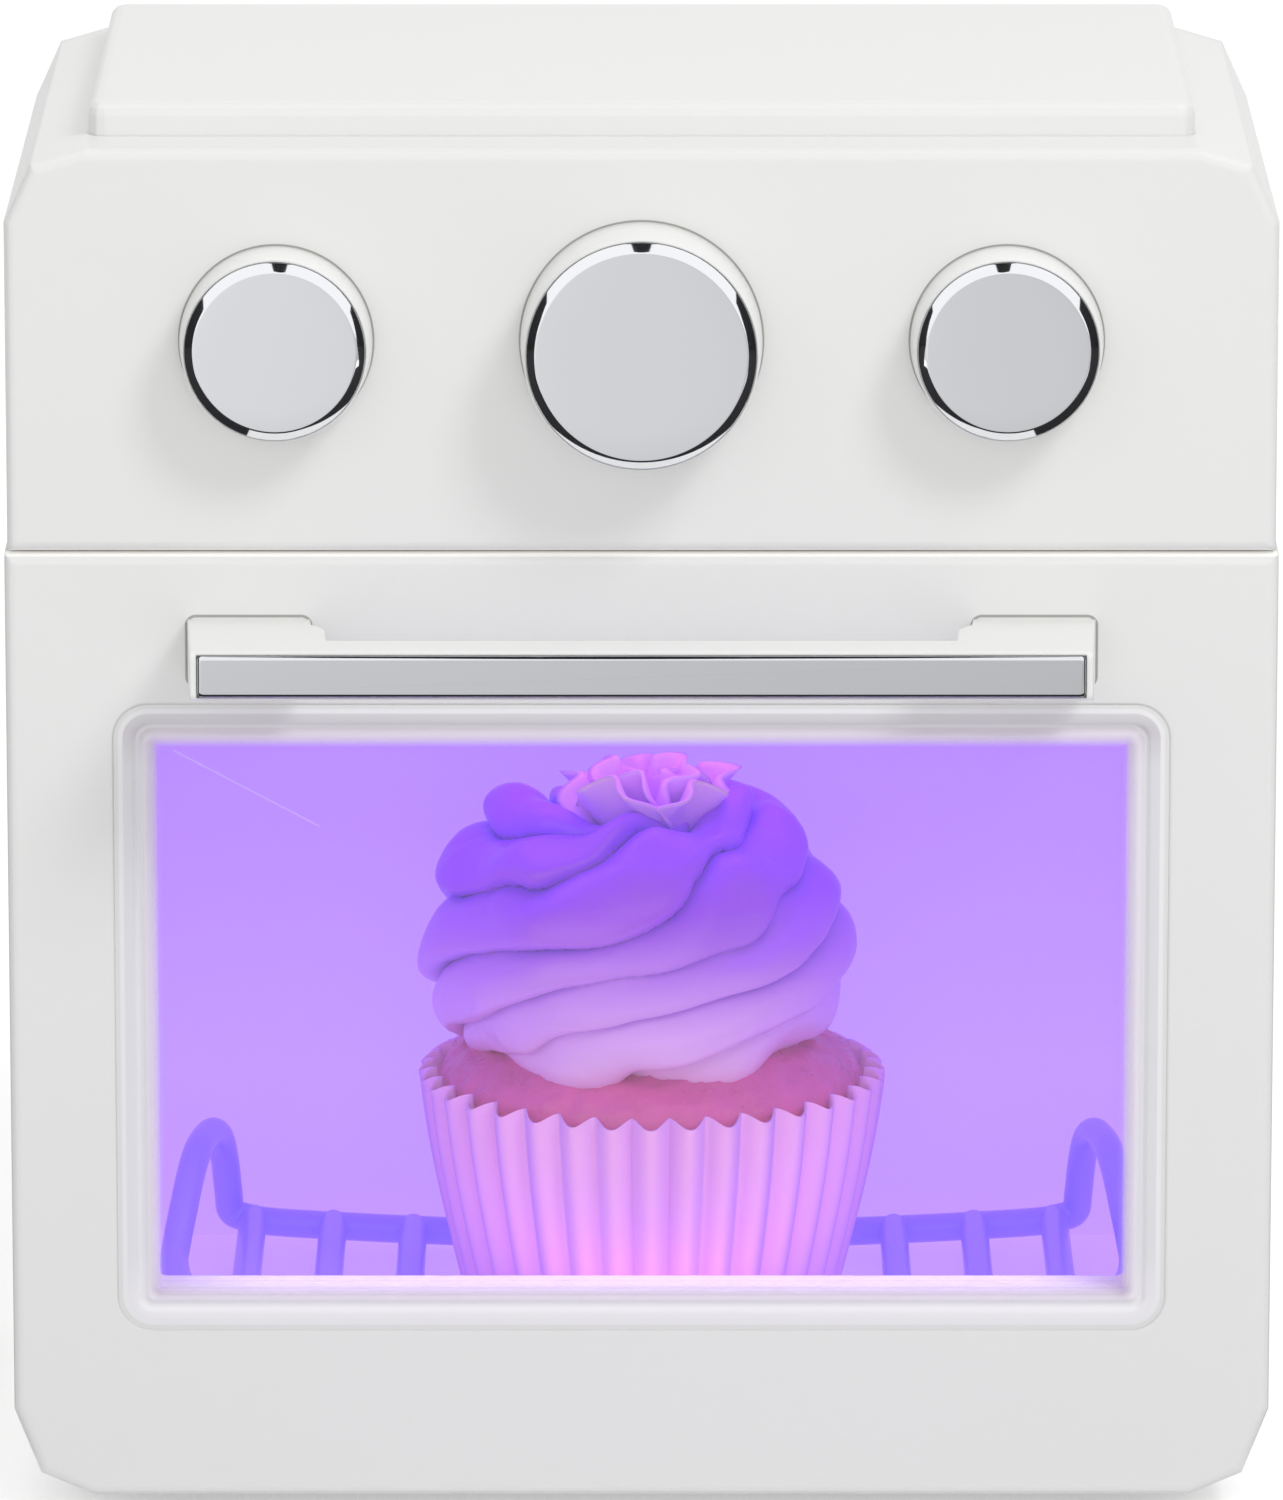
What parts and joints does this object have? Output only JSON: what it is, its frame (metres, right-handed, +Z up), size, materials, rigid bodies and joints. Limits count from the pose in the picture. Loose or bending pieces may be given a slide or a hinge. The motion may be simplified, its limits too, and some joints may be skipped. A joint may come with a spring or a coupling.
{
  "type": "toy oven",
  "caption": "Small white toy oven with a drop-down window door, bar handle, round control knobs and a violet-lit cavity holding a wire rack and a play cupcake",
  "frame": {"origin": "middle of the bounding box in plan, at the height of the feet's undersides", "axes": "+X is the oven's right seen from the front, -Y is the front with the door and knobs, +Z is up"},
  "size_m": [0.1206, 0.0832, 0.1365],
  "materials": {
    "white_plastic": "injection-moulded white plastic with a soft satin gloss",
    "bright_plastic": "brighter white moulded plastic, satin gloss",
    "chrome_plating": "bright chrome plating on moulded plastic",
    "clear_plastic": "clear polished plastic sheet",
    "lilac_plastic": "pale lilac moulded plastic with a satin surface",
    "frosted_plastic": "milky light-spreading plastic",
    "black_plastic": "black moulded plastic",
    "zinc_screws": "zinc-plated steel screws",
    "spring_steel": "plain drawn and stamped steel",
    "cell_jackets": "printed-free dark jacket over a steel can",
    "green_board": "green lacquered circuit board",
    "violet_leds": "clear violet lamp lenses",
    "sensor_glass": "thin glass tube with wire ends",
    "nickel_magnets": "nickel-plated magnet discs",
    "soft_feet": "soft white rubber",
    "violet_wire": "violet coated wire, semi-gloss",
    "fluted_paper": "fluted pink baking-case paper",
    "play_cake": "crumb-textured pink-brown play food",
    "play_frosting": "soft glossy violet moulded swirl",
    "play_petals": "soft glossy violet moulded petals"
  },
  "bodies": {
    "cabinet": {"cabinet_shell": "white_plastic", "back_cover": "white_plastic", "cover_screws": "zinc_screws", "battery_door": "white_plastic", "battery_door_screw": "zinc_screws", "battery_tray": "black_plastic", "battery_contacts": "spring_steel", "battery_cells": "cell_jackets", "oven_liner": "lilac_plastic", "light_diffuser": "frosted_plastic", "led_board": "green_board", "uv_leds": "violet_leds", "led_board_screws": "zinc_screws", "main_board": "green_board", "main_board_screws": "zinc_screws", "rotary_switch": "black_plastic", "door_sensor": "sensor_glass", "strike_plates": "spring_steel", "foot_front_left": "soft_feet", "foot_front_right": "soft_feet", "foot_rear_left": "soft_feet", "foot_rear_right": "soft_feet", "rack": "violet_wire", "cupcake_case": "fluted_paper", "cake": "play_cake", "frosting": "play_frosting", "frosting_rosette": "play_petals"},
    "door": {"door_outer": "white_plastic", "door_inner": "white_plastic", "door_screws": "zinc_screws", "door_magnets": "nickel_magnets", "window_pane": "clear_plastic", "handle_bracket": "bright_plastic", "handle_trim": "chrome_plating", "handle_screws": "zinc_screws", "hinge_pin_left": "spring_steel", "hinge_pin_right": "spring_steel"},
    "left_knob": {"knob_left": "bright_plastic", "knob_left_cap": "chrome_plating", "knob_left_clip": "spring_steel"},
    "main_knob": {"knob_main": "bright_plastic", "knob_main_cap": "chrome_plating", "knob_main_clip": "spring_steel", "switch_rotor": "bright_plastic"},
    "right_knob": {"knob_right": "bright_plastic", "knob_right_cap": "chrome_plating", "knob_right_clip": "spring_steel"}
  },
  "joints": [
    {"name": "door_hinge", "type": "hinge", "parent": "cabinet", "child": "door", "pos_m": [0, -0.0224, 0.0056], "axis": [1, 0, 0], "range_deg": [0, 78]},
    {"name": "left_knob_turn", "type": "hinge", "parent": "cabinet", "child": "left_knob", "pos_m": [-0.0344, -0.0264, 0.1151], "axis": [0, 1, 0], "continuous": true},
    {"name": "main_knob_turn", "type": "hinge", "parent": "cabinet", "child": "main_knob", "pos_m": [0, -0.0264, 0.1151], "axis": [0, 1, 0], "range_deg": [0, 270]},
    {"name": "right_knob_turn", "type": "hinge", "parent": "cabinet", "child": "right_knob", "pos_m": [0.0344, -0.0264, 0.1151], "axis": [0, 1, 0], "continuous": true}
  ]
}
